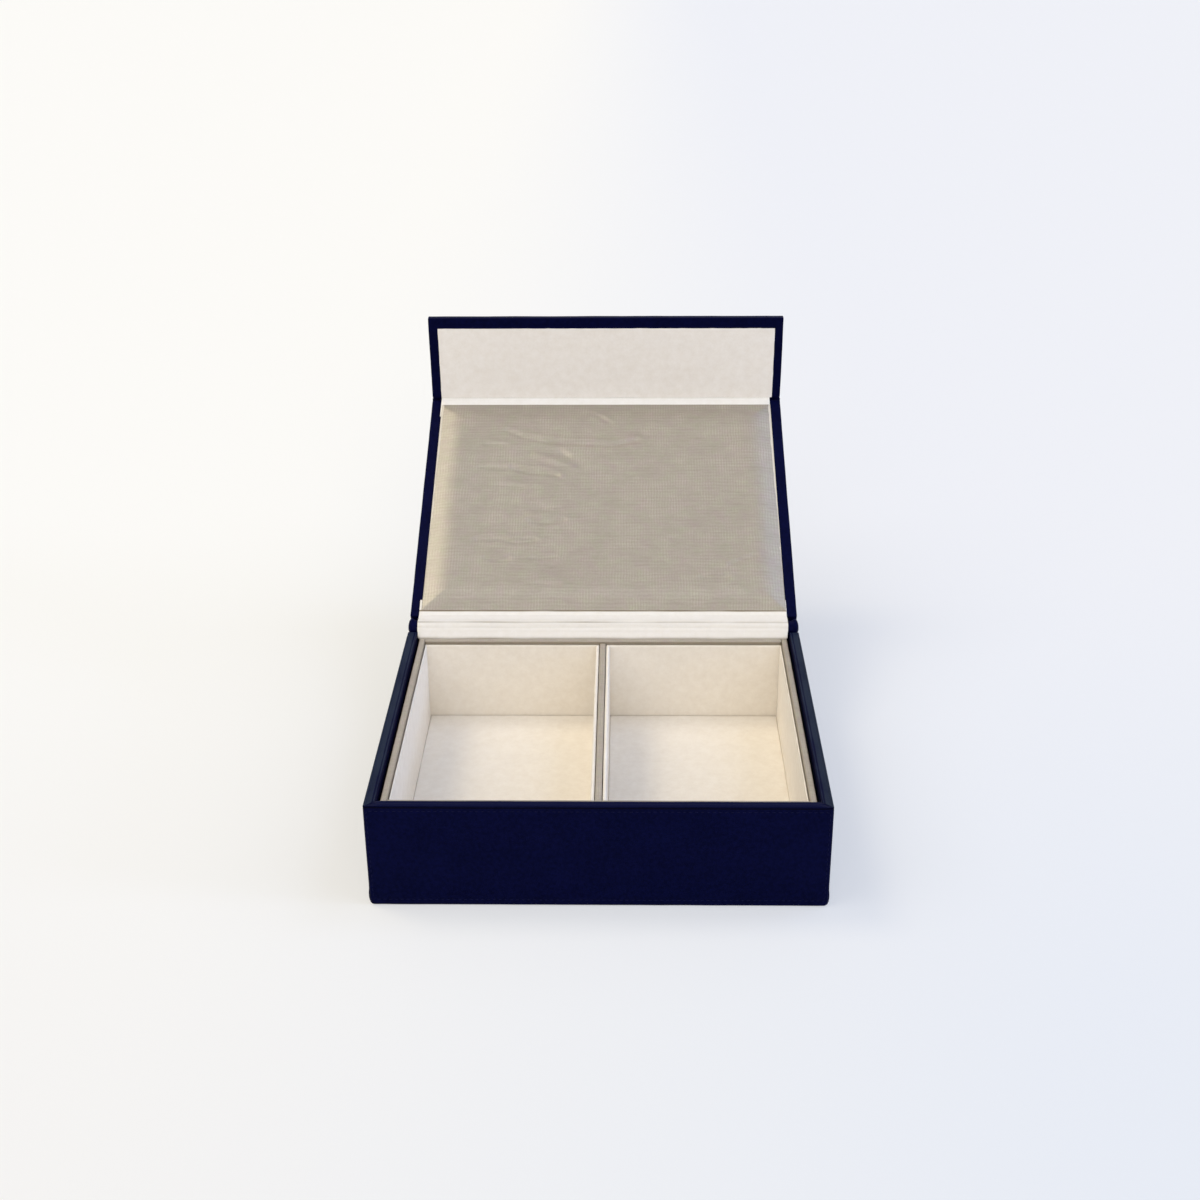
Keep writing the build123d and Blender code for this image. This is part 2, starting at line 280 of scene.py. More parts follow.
def wall_path(edge_round, top, fold_at, crown, full):
    """Offset, height and corner rounding along the leather, from under the bottom, up the outside,
    over the rim and down the inside. A fold runs along the rim's top at a share of its width."""
    path = [(offset, CASE_BOTTOM, 0.0) for offset in (TUCK, 6.0, 3.4)]
    for rise in (0, 0.08, 0.25, 0.55, 0.9, 1.3, 1.7, 2.0, 2.3, 2.7):
        ledge = 0.16 * dip(rise - 2.1, 0.25) - 0.08 * dip(rise - 1.4, 0.4)
        path.append((round_offset(edge_round, rise) + ledge, FOOT + rise, UPRIGHT_ROUND))
    sewn_low, sewn_high = CASE_BOTTOM + SEWN_ABOVE_BOTTOM, top - SEWN_BELOW_RIM
    heights = [sewn_low + step for step in (-0.3, 0.0, 0.5, 1.2)]
    heights += list(np.linspace(8, top - 8, 16))
    heights += [sewn_high + step for step in (-3.0, -1.2, -0.5, 0.0, 0.5)]
    path += [(0.0, z, UPRIGHT_ROUND) for z in heights]
    # A seam under the rim: the leather steps back, and out again
    path += [(offset, top - RIM_SEAM + step, upright) for offset, step, upright in (
        (0.0, -1.1, 0.8), (0.1, -0.85, 0.6), (0.65, -0.6, 0.6), (0.7, -0.08, 0.6),
        (0.0, 0.03, 0.5))]
    quarter = [(cos(angle), sin(angle)) for angle in np.radians([0, 30, 60, 90])]
    path += [(RIM_OUTER_ROUND * (1 - c), top - RIM_OUTER_ROUND * (1 - s), 0.4 * c)
             for c, s in quarter]
    fold = fold_at * WALL
    by_fold = {fold + step for step in (-0.7, -0.35, 0.0, 0.35, 0.7)}
    for offset in sorted({0.9, 1.8, 2.6, 3.8, 5.0} | by_fold):
        if offset < WALL - RIM_INNER_ROUND:
            rise = crown * (1 - abs(2 * offset / WALL - 1) ** 3)
            rise -= RIM_FOLD_DEPTH * dip(offset - fold, 0.32)
            path.append((offset, top + rise, 0.0))
    path += [(WALL - RIM_INNER_ROUND * (1 - s), top - RIM_INNER_ROUND * (1 - c), 0.0)
             for c, s in quarter]
    path += [(WALL, z, 0.0) for z in np.linspace(top - 2.0, top - TURN_IN, 8)]
    path = np.array(path)
    path[:, 0] -= [full * fullness(z) * min(1.0, max(0.0, 1 - offset / WALL))
                   for offset, z, _ in path]
    return path


def outward(path):
    """Unit normals on the left of a path in a side view: away from the board, or up."""
    along = np.gradient(path[:, :2], axis=0)
    along /= np.linalg.norm(along, axis=1)[:, None]
    return np.stack([-along[:, 1], along[:, 0]], axis=1)


def wall_skin(name, turn, top, seed, fold_at, crown, notch_end=None):
    """One wall's leather, mitred at both ends, turned to its side of the case. Its rim comes down
    to the side rims' form at the mitres."""
    # The front is flatter than the sides, because the closed flap lies against it
    front_form, side_form = (FRONT_EDGE_ROUND, FRONT_FULLNESS), (SIDE_EDGE_ROUND, 1.0)
    half_run, half_across = HALF_WIDTH, HALF_DEPTH
    (own_round, own_full), (other_round, other_full) = front_form, side_form
    if turn % 180:
        half_run, half_across = half_across, half_run
        (own_round, own_full), (other_round, other_full) = side_form, front_form
    own = wall_path(own_round, top, fold_at, crown, own_full)
    other = wall_path(other_round, top, fold_at, crown, other_full)
    at_mitre = wall_path(own_round, min(top, RIM), fold_at, SIDE_CROWN, own_full)
    normals, other_normals = outward(own), outward(other)
    left, right = ([(end, mark)
                    for mark in END_MARKS + (NOTCH_MARKS if end == notch_end else PLAIN_MARKS)]
                   for end in (-1, 1))
    even = half_run - EVEN_FROM
    columns = left + [(0, run) for run in np.linspace(-even, even, round(even / 2.0))[1:-1]]
    columns += right[::-1]
    rows = len(own)
    points = []
    for side, mark in columns:
        distance = mark if side else half_run - abs(mark)
        near = dip(distance, 6.0)
        for depth in (0.0, SKIN):
            for k in range(rows):
                offset, height, upright = near * at_mitre[k] + (1 - near) * own[k]
                offset -= depth * normals[k][0]
                height -= depth * normals[k][1]
                meets = other[k][0] - depth * other_normals[k][0]
                if side:
                    fade = max(9.0, 9.0 + 2 * (meets - WALL))
                    into_round = mark + 0.293 * upright * max(0.0, 1 - mark / 5.0)
                    if depth == 0.0 and upright > 0.01:
                        offset += round_offset(upright, into_round)
                    run = side * (half_run - into_round - meets * max(0.0, 1 - mark / fade))
                else:
                    run = mark
                if depth == 0.0:
                    lumps = wall_lumps(own[k], normals[k], distance, run, turn, seed, top)
                    offset += lumps * normals[k][0]
                    height += lumps * normals[k][1]
                if side == notch_end and side:
                    ceiling = NOTCH_FLOOR
                    if mark >= NOTCH_FRONT:
                        ceiling = RIM - round_offset(UPRIGHT_ROUND, mark - NOTCH_FRONT)
                    height = min(height, ceiling - depth)
                points.append((run, offset - half_across, height))
    loop = list(range(rows)) + list(range(2 * rows - 1, rows - 1, -1))
    faces = tube_faces(len(columns), loop)
    for first in (0, (len(columns) - 1) * 2 * rows):
        faces += [(first + k, first + k + 1, first + rows + k + 1, first + rows + k)
                  for k in range(rows - 1)]
    return new_piece(name, points, faces, Matrix.Rotation(radians(turn), 4, "Z"))


def wall_lumps(spot, normal, distance, run, turn, seed, top):
    """How far the leather stands out: soft lumps, a closed mitre seam, sewn lines, full corners."""
    place = (run + turn, spot[0] * 3, spot[1])
    lumps = 0.08 * ripple(place, 24.0, seed) + 0.04 * ripple(place, 6.0, seed + 1)
    lumps *= 1 - exp(-distance / 3.0)
    lumps -= MITRE_DEPTH * dip(distance, 0.3)
    if normal[0] > -0.5:
        return lumps
    low, high = CASE_BOTTOM + SEWN_ABOVE_BOTTOM, top - SEWN_BELOW_RIM
    if low - 0.1 < spot[1] < high + 0.1:
        lumps -= SEWN_DEPTH * dip(distance - SEWN_IN, 0.45)
    if distance > SEWN_IN - 0.1:
        lumps -= SEWN_DEPTH * (dip(spot[1] - high, 0.6) + dip(spot[1] - low, 0.6))
    return lumps + 0.55 * dip(distance, 3.0) * dip(spot[1] - 6.5, 3.2)


def bead_skin(name, seed):
    """The rolled leather along the back rim, with gathered, rounded ends."""
    ends = [0, 0.03, 0.12, 0.3, 0.55, 0.9, 1.4, 2.0, 2.7, 3.5, 4.4, 5.5, KNOB_LENGTH, 8.5]
    reach = HALF_WIDTH + 0.5
    xs = [-reach + d for d in ends] + list(np.linspace(-115, 115, 47))
    xs += [reach - d for d in reversed(ends)]
    sides = 28
    points = []
    for x in xs:
        distance = reach - abs(x)
        knob = max(0.0, 1 - distance / KNOB_LENGTH)
        knob = knob * knob * (3 - 2 * knob)
        dome = sqrt(1 - max(0.0, 1 - (distance + 0.05) / 3.4) ** 2)
        for s in range(sides):
            angle = 2 * pi * s / sides
            fold = 0.2 * knob * sin(5 * angle + seed) * sin(3 * angle)
            lumps = 0.06 * ripple((x, 9 * cos(angle), 9 * sin(angle)), 7.0, seed)
            lobe = KNOB * knob * max(0.0, cos(angle - radians(62))) ** 2 + 0.5 * knob
            radius = (BEAD + lobe + fold + lumps) * dome
            points.append((x, radius * cos(angle), radius * sin(angle)))
    faces = tube_faces(len(xs), list(range(sides)))
    faces += [[first + s for s in range(sides)] for first in (0, (len(xs) - 1) * sides)]
    return new_piece(name, points, faces, hinge_place)


front_skin = wall_skin("front_skin", 0, FRONT_RIM, 3, 0.5, FRONT_CROWN)
right_skin = wall_skin("right_skin", 90, RIM, 5, 0.74, SIDE_CROWN, notch_end=1)
left_skin = wall_skin("left_skin", -90, RIM, 8, 0.74, SIDE_CROWN, notch_end=-1)
back_wall = wall_skin("back_wall", 180, NOTCH_FLOOR, 11, 0.5, 0.0)
behind_bead = soft_slab(
    "behind_bead", (-128.8, HALF_DEPTH - 0.9, NOTCH_FLOOR - 3.0),
    (128.8, HALF_DEPTH + 0.22, HINGE[2] + 0.2), 0.4, 4.0, 0.03, 13,
)
back_skin = join("back_skin", [back_wall, behind_bead, bead_skin("bead", 15)])


# Lid and flap leather

MITRE_MARKS = [1.0, 2.0, 3.0, 4.0, 5.0, 6.0, 7.0, 8.0, 10.0, 12.0, 14.0]


def panel_skin(name, start, end, face, seed, place, pressed=0.0):
    """A lid or flap wrapped in leather, its turned-in edges mitred at the corners. Near its start
    it can be pressed flat along the sides, where it rests on the case's rim."""
    half_width = HALF_WIDTH + 0.3

    def dent(point, normal):
        from_side = half_width - abs(point[0])
        from_end = min(point[1] - start, end - point[1])
        if normal[2] < 0.4:
            return 0.0
        depth = pressed * max(0.0, 1 - (point[1] - start) / 90) / (1 + (from_side / 9) ** 8)
        if normal[2] > 0.9 and max(from_side, from_end) <= MITRE_MARKS[-1]:
            depth += PANEL_MITRE_DEPTH * dip(from_side - from_end, 0.4)
        return depth

    return soft_slab(
        name, (-half_width, start, face - PANEL), (half_width, end, face),
        0.75, 5.0, 0.14, seed, place, MITRE_MARKS, dent,
    )


lid_skin = panel_skin("lid_skin", LID_START, LID_END, 0.0, 21, lid_place, pressed=0.26)
flap_skin = panel_skin("flap_skin", BOARD_TO_AXIS, FLAP_REACH, PANEL / 2, 24, flap_place)


# Strips along the hinges

def rounded_path(corners, radii, spacing):
    """Evenly spaced points along a path of straight runs joined by arcs."""
    corners = [np.array(corner, float) for corner in corners]
    dense = [corners[0]]
    for before, corner, after, radius in zip(corners, corners[1:], corners[2:], radii):
        back = (before - corner) / np.linalg.norm(before - corner)
        ahead = (after - corner) / np.linalg.norm(after - corner)
        half = acos(float(np.clip(back @ ahead, -1, 1))) / 2
        middle = (back + ahead) / np.linalg.norm(back + ahead)
        centre = corner + middle * radius / sin(half)
        start = corner + back * radius / tan(half) - centre
        end = corner + ahead * radius / tan(half) - centre
        sweep = acos(float(np.clip(start @ end / radius ** 2, -1, 1)))
        sense = 1 if start[0] * end[1] - start[1] * end[0] > 0 else -1
        for t in np.linspace(0, sweep, 12):
            c, s = cos(sense * t), sin(sense * t)
            turned = np.array([c * start[0] - s * start[1], s * start[0] + c * start[1]])
            dense.append(centre + turned)
    dense.append(corners[-1])
    dense = np.array(dense)
    length = distances_along(dense)
    marks = np.linspace(0, length[-1], max(2, round(length[-1] / spacing)) + 1)
    return np.stack([np.interp(marks, length, dense[:, k]) for k in (0, 1)], axis=1)


def ribbon(name, path, half_widths, thickness, pitch, wobble, seed, place, creases=(), ragged=0.0):
    """A band of cloth or leather along a path in Y and Z, with its width across the box."""
    side, length = outward(path), distances_along(path)
    half_widths = np.interp(length, *np.array(half_widths, float).T)
    count = round(2 * half_widths.max() / pitch)
    edge = 0.5 * thickness / half_widths.max()
    marks = [-1, -1 + 0.3 * edge, -1 + edge, *np.linspace(-1, 1, count)[1:-1],
             1 - edge, 1 - 0.3 * edge, 1]
    rows, columns = len(path), len(marks)
    points = []
    for face in (1, -1):
        for r in range(rows):
            at_end = min(length[r], length[-1] - length[r])
            for mark in marks:
                rim = min((1 - abs(mark)) / edge, at_end / (0.5 * thickness), 1.0)
                thick = thickness / 2 * (0.25 + 0.75 * sqrt(max(0.0, 1 - (1 - rim) ** 2)))
                x = mark * half_widths[r]
                frayed = ripple((copysign(60, mark), length[r], 0), 4.0, seed)
                x += ragged * frayed * abs(mark) ** 8
                lift = wobble * ripple((x, length[r], 0), 18.0, seed) * min(1.0, at_end / 2)
                if face > 0:
                    lift -= sum(depth * (1 - fade * abs(mark)) * dip(length[r] - where, width)
                                for where, depth, width, fade in creases)
                y, z = path[r] + side[r] * (face * thick + lift)
                points.append((x, y, z))
    faces = []
    sheet = rows * columns
    for r in range(rows - 1):
        for c in range(columns - 1):
            here, above = r * columns + c, (r + 1) * columns + c
            quad = (here, here + 1, above + 1, above)
            faces += [quad, tuple(i + sheet for i in reversed(quad))]
    rim_loop = [*range(columns), *(r * columns + columns - 1 for r in range(1, rows)),
                *((rows - 1) * columns + c for c in range(columns - 2, -1, -1)),
                *(r * columns for r in range(rows - 2, 0, -1))]
    faces += [(a, b, b + sheet, a + sheet) for a, b in zip(rim_loop, rim_loop[1:] + rim_loop[:1])]
    return new_piece(name, points, faces, place)


def paint_fold_shade(piece, place, path, folds):
    """Painted shade on a strip, darker along its folds and where shadow falls on it: distance up
    it, strength and width, and how far the fold wanders."""
    length = distances_along(path)
    painted_shade = piece.data.attributes.new("painted_shade", "FLOAT", "POINT")
    for point, mark in zip(points_in(place, piece), painted_shade.data):
        up = length[np.argmin(((path - point[1:]) ** 2).sum(axis=1))]
        drift = 0.6 * ripple((point[0], 0, 0), 40.0, 71)
        fading = 0.75 + 0.5 * ripple((point[0], up, 0), 22.0, 72)
        mark.value = fading * sum(strength * dip(up - where - drift * wander, width)
                                  for where, strength, width, wander in folds)


def polar(radius, angle):
    """A point of a side view at a radius and an angle."""
    return np.array([radius * cos(angle), radius * sin(angle)])


# The suede strip runs from the lid's face, over the bead, straight to the tray's back rim, and down
# behind the tray. Its half widths are given at distances from its lower end
STRIP_LIFT = LINING_GAP + LINING / 2
STRIP_RADIUS = BEAD + STRIP_LIFT
STRIP_KNEE = (-8.85, -3.3)
STRIP_TAIL = 12.0
STRIP_WIDTHS = [(0, 122.2), (11.5, 122.2), (12.6, 122.9), (15.5, 123.1), (18, 123.5),
                (30, 123.8), (80, 123.9)]
TO_THE_LEFT = Matrix.Translation((-0.45, 0, 0))
face_normal = polar(1, LEAN + pi / 2)
lid_line = polar(23.5, LEAN) + STRIP_LIFT * face_normal
lid_bend_along = (STRIP_RADIUS - STRIP_LIFT * cos(LEAN)) / sin(LEAN)
lid_bend = polar(lid_bend_along, LEAN) + STRIP_LIFT * face_normal
leaves_bead = 2 * pi + atan2(STRIP_KNEE[1], STRIP_KNEE[0]) - acos(
    STRIP_RADIUS / hypot(*STRIP_KNEE))
over_bead = (leaves_bead - pi / 2) / 2
strip_path = rounded_path([
    lid_line, lid_bend, polar(STRIP_RADIUS / cos(over_bead), pi / 2 + over_bead),
    STRIP_KNEE, (STRIP_KNEE[0], STRIP_KNEE[1] - STRIP_TAIL),
], [LINING, STRIP_RADIUS, 1.5], 0.35)[::-1]
# Distances up the strip at which it meets the bead, passes over its top and meets the pad's foot
MEETS_BEAD, BEAD_TOP, PAD_FOOT = 20.0, 24.4, PAD_START + 22.9
strip_place = hinge_place @ TO_THE_LEFT
lid_hinge_suede = ribbon(
    "lid_hinge_suede", strip_path, STRIP_WIDTHS, LINING, 3.0, 0.06, 31, strip_place, ragged=0.2,
    creases=[
        (BEAD_TOP - 1.0, 0.4, 0.7, 0.75), (BEAD_TOP - 2.3, -0.5, 0.8, 0.6),
        (BEAD_TOP + 0.9, -0.3, 1.2, 0.5), (MEETS_BEAD, 0.25, 0.9, 0.4),
        (MEETS_BEAD - 2.2, -0.12, 1.0, 0.3),
    ],
)
# Painted shade in the folds over the bead, in the pad's shadow at its foot, and at the knee over
# the tray's rim
paint_fold_shade(lid_hinge_suede, strip_place, strip_path, [
    (BEAD_TOP - 0.9, 0.62, 0.85, 0.6), (BEAD_TOP + 1.8, 0.12, 1.6, 0.8),
    (MEETS_BEAD - 0.4, 0.18, 0.7, 0.5), (PAD_FOOT, 1.6, 0.55, 0.0), (11.8, 0.7, 1.1, 0.0),
])

outer_corner = polar(LID_START, LEAN) - PANEL * face_normal
web_height = outer_corner[1] + WEB / 2 * cos(LEAN)
web_path = np.stack(
    [np.linspace(BEAD + 0.05, outer_corner[0] - 0.1, 42), np.full(42, web_height)], axis=1)
lid_hinge_web = ribbon(
    "lid_hinge_web", web_path, [(0, 128.6), (8, 129.3)], WEB, 5.0, 0.05, 34, hinge_place,
)

WEB_RADIUS = PANEL / 2 - WEB / 2
web_tangent = polar(WEB_RADIUS, TURN - pi / 2)
half_turn = TURN / 2
web_corner = polar(WEB_RADIUS / cos(half_turn), half_turn - pi / 2)
flap_hinge_web = ribbon(
    "flap_hinge_web",
    rounded_path([(-BOARD_TO_AXIS - 0.3, -WEB_RADIUS), web_corner,
                  polar(BOARD_TO_AXIS + 0.3, TURN) + web_tangent], [WEB_RADIUS], 0.2),
    [(0, 129.3), (2.5, 130.9), (6, 130.9), (8.5, 129.3)], WEB, 5.0, 0.05, 36, flap_axis_place,
)
# The flap's strip starts under the pad and ends on the flap, at distances from their axis
FOLD_STRIP_START, FOLD_STRIP_END = 195.7 - FLAP_AXIS, 3.15
STRIP_OFFSET = PANEL / 2 + STRIP_LIFT
fold = polar(STRIP_OFFSET / cos(half_turn), pi / 2 + half_turn)
flap_hinge_suede = ribbon(
    "flap_hinge_suede",
    rounded_path([
        (FOLD_STRIP_START, STRIP_OFFSET), fold,
        polar(FOLD_STRIP_END, TURN) + polar(STRIP_OFFSET, TURN + pi / 2),
    ], [1.0], 0.3),
    [(0, 123.0), (30, 123.0)], LINING, 3.0, 0.04, 38, flap_axis_place @ TO_THE_LEFT, ragged=0.15,
)


def suede_edge(point, normal):
    """The cut edge of the flap's lining, a little uneven."""
    if abs(normal[2]) > 0.5 or normal[1] < -0.5:
        return 0.0
    return 0.22 * ripple(point, 5.0, 41) + 0.12 * ripple(point, 1.8, 42)


flap_suede = soft_slab(
    "flap_suede", (-123.4, 3.2, PANEL / 2), (124.2, 57.2, PANEL / 2 + LINING), 0.24, 2.5, 0.05, 40,
    flap_place, (0.6, 1.2), suede_edge,
)


# Pad

# Creases in the silk, in the lid's frame: depth, width, and points along each one
PAD_CREASES = (
    (1.09, 1.8, ((-72, 178), (-61, 172), (-44, 167.5), (-28, 165.7), (-11, 165), (6, 163.5),
                 (23, 168))),
    (0.61, 1.6, ((-11, 196), (-3.5, 191.5), (4, 184.5))),
    (1.23, 2.0, ((-67, 141.5), (-55, 137.5), (-43, 136.8), (-35, 134))),
    (-1.01, 3.0, ((-50, 154), (-36, 148.5), (-24, 143.5))),
    (0.70, 2.0, ((-34, 159), (-27, 152.5))),
    (1.23, 1.7, ((-52, 91.3), (-42, 90), (-29, 91.7))),
    (-0.80, 2.6, ((-52, 97), (-36, 97.5))),
    (1.16, 1.8, ((-89, 74), (-72, 75), (-62, 72), (-49, 73.5))),
    (0.87, 1.6, ((-82, 57.7), (-71, 55.7), (-66, 56.8))),
    (0.72, 1.4, ((-50, 57.7), (-34, 58.5))),
    (0.87, 1.6, ((68, 41), (77, 40), (85, 41))),
    (0.58, 1.5, ((-45, 35), (-30, 34))),
    (0.52, 1.8, ((-88, 165), (-73, 163))),
    (0.58, 1.6, ((-90, 142), (-72, 141))),
    (0.52, 2.0, ((-76, 125), (-59, 122.5))),
    (0.52, 1.8, ((87, 52), (105, 60))),
)


def from_pad_edge(x, y):
    """How far inside the pad's outline a point is."""
    return max(0.0, min(PAD_HALF_WIDTH - abs(x), y - PAD_START, PAD_END - y))


def pad_height(x, y):
    """Height of the pad over its base: edge, straight bevel, soft shoulder and a low crown."""
    from_edge = from_pad_edge(x, y)
    edge = PAD_EDGE - round_offset(0.4, from_edge)
    share, soft = from_edge / PAD_BEVEL, 0.5
    ramp = min(1.0, share)
    if abs(share - 1) < soft:
        ramp = 1 - (1 + soft - share) ** 2 / (4 * soft)
    further = min(1.0, max(0.0, from_edge - PAD_BEVEL) / (PAD_CROWN_INSET - PAD_BEVEL))
    return edge + (PAD_SHOULDER - PAD_EDGE) * ramp + PAD_CROWN * sin(further * pi / 2)


def pad_mesh():
    """The pad before it swells: a closed form with a fine grid on top and an undercut edge."""
    marks = [0.25, 0.6, 1.4, 2.8, 4.6, 6.4, 8.2, 9.8, 11.2, 12.6, 14.2, 16.2]
    grid = []
    for low, high, count in ((-PAD_HALF_WIDTH, PAD_HALF_WIDTH, 92), (PAD_START, PAD_END, 72)):
        inner = np.linspace(low + marks[-1], high - marks[-1], count)[1:-1]
        edges = {low + mark for mark in [0.0] + marks} | {high - mark for mark in [0.0] + marks}
        grid.append(sorted(edges | set(inner)))
    points, faces = box_surface(*grid, [0.0, 0.5, 1.0])
    middle, length = (PAD_START + PAD_END) / 2, PAD_END - PAD_START
    for point in points:
        x, y, level = point
        point[2] = PAD_BASE + (pad_height(x, y) if level > 0.9 else 0.5 * PAD_EDGE * level)
        if level < 0.1:
            point[0] *= 1 - PAD_UNDERCUT / PAD_HALF_WIDTH
            point[1] = middle + (y - middle) * (1 - 2 * PAD_UNDERCUT / length)
        point[0] *= 1 - PAD_TAPER / PAD_HALF_WIDTH * (point[1] - PAD_START) / length
    return points, faces


def swell(piece, free, most):
    """Lets the silk swell over the foam under pressure. Each free point keeps its share of the
    movement, up to the most that is allowed."""
    held = piece.vertex_groups.new(name="held")
    held.add([v.index for v in piece.data.vertices if v.index not in free], 1.0, "REPLACE")
    cloth = piece.modifiers.new("swell", "CLOTH")
    cloth.settings.quality = 6
    cloth.settings.use_pressure = True
    cloth.settings.uniform_pressure_force = 4.0
    cloth.settings.vertex_group_mass = "held"
    cloth.settings.effector_weights.gravity = 0
    cloth.point_cache.frame_start = 1
    cloth.point_cache.frame_end = 20
    rest = np.array([vertex.co for vertex in piece.data.vertices])
    for number in range(1, 21):
        bpy.context.scene.frame_set(number)
    final = piece.evaluated_get(bpy.context.evaluated_depsgraph_get()).data
    moved = np.array([vertex.co for vertex in final.vertices]) - rest
    size = np.linalg.norm(moved, axis=1)
    scale = np.where(size > 1e-9, most * np.tanh(size / most) / np.maximum(size, 1e-9), 1.0)
    piece.modifiers.remove(cloth)
    piece.vertex_groups.remove(held)
    scale *= [free.get(index, 0.0) for index in range(len(rest))]
    piece.data.vertices.foreach_set("co", (rest + moved * scale[:, None]).ravel())
    bpy.context.scene.frame_set(1)


def keep_result(piece):
    """Turns a piece's modifiers into its plain mesh."""
    shape = piece.evaluated_get(bpy.context.evaluated_depsgraph_get())
    mesh = bpy.data.meshes.new_from_object(shape)
    piece.modifiers.clear()
    piece.data = mesh
    mesh.shade_smooth()


def crease_depth(x, y):
    """How far the silk's creases lower the pad at a point, with the pushed-up silk beside them."""
    total = 0.0
    for depth, width, line in PAD_CREASES:
        nearest, above, along = 1e9, 0.0, 0.0
        for k, ((ax, ay), (bx, by)) in enumerate(zip(line, line[1:])):
            run, rise = bx - ax, by - ay
            length = hypot(run, rise)
            share = ((x - ax) * run + (y - ay) * rise) / length ** 2
            held = min(1.0, max(0.0, share))
            gap = hypot(x - ax - held * run, y - ay - held * rise)
            if gap < nearest:
                nearest = gap
                above = ((y - ay) * run - (x - ax) * rise) / length
                along = (k + held) / (len(line) - 1)
        if nearest > 5 * width:
            continue
        fade = sin(pi * min(1.0, max(0.0, 0.12 + 0.76 * along))) ** 0.7
        ridge = 0.55 * dip(nearest - 2.0 * width, 1.3 * width) if above > 0 else 0.0
        total += 0.85 * depth * fade * (dip(nearest, 1.12 * width) - ridge)
    return total


pad = new_piece("pad", *pad_mesh(), lid_place)
# The silk is held at its edge and its bevel, and becomes free over some way inside them
free = {}
for index, (x, y, z) in enumerate(points_in(lid_place, pad)):
    inside = from_pad_edge(x, y) - PAD_BEVEL - 1
    if z > PAD_BASE + PAD_EDGE and inside > 0:
        free[index] = sin(pi / 2 * min(1.0, inside / FREE_WITHIN)) ** 2
swell(pad, free, MOST_SWELL * MM)
smoothing = pad.modifiers.new("smoothing", "SUBSURF")
smoothing.levels = smoothing.render_levels = 1
keep_result(pad)
points = points_in(lid_place, pad)
for point in points:
    x, y, z = point
    if z > PAD_BASE + 0.8 * PAD_EDGE:
        point[2] -= crease_depth(x, y) + 0.05 * ripple(point, 9.0, 44)
        point[2] += 0.06 * ripple((x * 0.25, y, 0), 5.0, 45)
        waves = PAD_WAVES * min(1.0, from_pad_edge(x, y) / 8)
        point[2] += waves * ripple((x, y, 0), 45.0, 46)
pad.data.vertices.foreach_set("co", placed(points, lid_place).ravel())
pad.data.update()


# Tray and wells

# The wells' liners stand off the tray's walls and end below their silk, most at the back
OFF_WALL = 0.3
BELOW_SILK = 0.3
BELOW_BACK_SILK = 0.8


def node_slab(name, node, rounding, pitch, wobble, seed, stands_off="", edge_marks=()):
    """A soft slab that fills the box of a CAD node, or stands a little off the wall on one side."""
    low, high = (np.array(corner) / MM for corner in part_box(node))
    if stands_off:
        high[2] -= BELOW_BACK_SILK if stands_off == "back" else BELOW_SILK
        face, axis, way = {"left": (low, 0, 1), "right": (high, 0, -1), "front": (low, 1, 1),
                           "back": (high, 1, -1)}[stands_off]
        face[axis] += OFF_WALL * way
    return soft_slab(name, low, high, rounding, pitch, wobble, seed, edge_marks=edge_marks)


soft = {}
for number, side in enumerate(("front", "back", "left", "right", "divider")):
    node = f"tray_{side}_silk"
    soft[node] = node_slab(f"tray_{side}_cover", node, 0.75, 4.0, 0.06, 50 + number)
for well_number, (well, by_divider) in enumerate((("left", "right"), ("right", "left"))):
    for number, side in enumerate(("floor", "front", "back", "left", "right")):
        node = f"{well}_well_{side}_suede"
        low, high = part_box(node)
        thin = min(np.array(high - low)) / MM
        stands_off = "" if side in (by_divider, "floor") else side
        rounding = 0.42 if stands_off else min(0.47 * thin, 1.0)
        soft[node] = node_slab(
            f"{well}_well_{side}_lining", node, rounding, 3.0, 0.18 if stands_off else 0.12,
            60 + 10 * well_number + number, stands_off, (0.8, 1.4) if side == "floor" else ())
        if side == "floor":
            # Painted shade in the corner at the back, where the floor meets the back liner
            painted_shade = soft[node].data.attributes.new("painted_shade", "FLOAT", "POINT")
            for vertex, mark in zip(soft[node].data.vertices, painted_shade.data):
                mark.value = 0.8 * dip((vertex.co[1] - high[1]) / MM, 0.75)


# Materials

SOFTLY = {"interpolation_type": "SMOOTHSTEP"}


def linear(code):
    """An sRGB hex colour as linear red, green, blue and alpha."""
    parts = [int(code[k:k + 2], 16) / 255 for k in (1, 3, 5)]
    parts = [p / 12.92 if p <= 0.04045 else ((p + 0.055) / 1.055) ** 2.4 for p in parts]
    return (*parts, 1.0)


def add(tree, kind, inputs=None, **settings):
    """Adds a node with its settings. An input given as another node is linked to its first output,
    one given as an output to that output, and one given as a hex colour is turned to linear."""
    node = tree.nodes.new(kind)
    for name, value in settings.items():
        setattr(node, name, value)
    for key, value in (inputs or {}).items():
        if isinstance(value, bpy.types.Node):
            value = next(output for output in value.outputs if output.enabled)
        if isinstance(value, bpy.types.NodeSocket):
            tree.links.new(value, node.inputs[key])
        else:
            node.inputs[key].default_value = linear(value) if isinstance(value, str) else value
    return node


def new_material(name, finish, turn=0.0):
    """A material with its shader's plain values, and its place in millimetres along a panel."""
    material = bpy.data.materials.new(name)
    material.use_nodes = True
    tree = material.node_tree
    tree.nodes.clear()
    add(tree, "ShaderNodeOutputMaterial", {
        "Surface": add(tree, "ShaderNodeBsdfPrincipled", finish)})
    where = add(tree, "ShaderNodeTexCoord")
    place = add(tree, "ShaderNodeMapping", {
        "Vector": where.outputs["Object"], "Rotation": (-turn, 0, 0), "Scale": (1000, 1000, 1000)})
    return material, tree, place


def maths(tree, operation, *values):
    """An operation on values."""
    return add(tree, "ShaderNodeMath", dict(enumerate(values)), operation=operation)


def mixed(tree, share, first, second, **how):
    """A share of the second colour laid over the first."""
    return add(tree, "ShaderNodeMix", {"Factor": share, "A": first, "B": second},
               data_type="RGBA", **how)


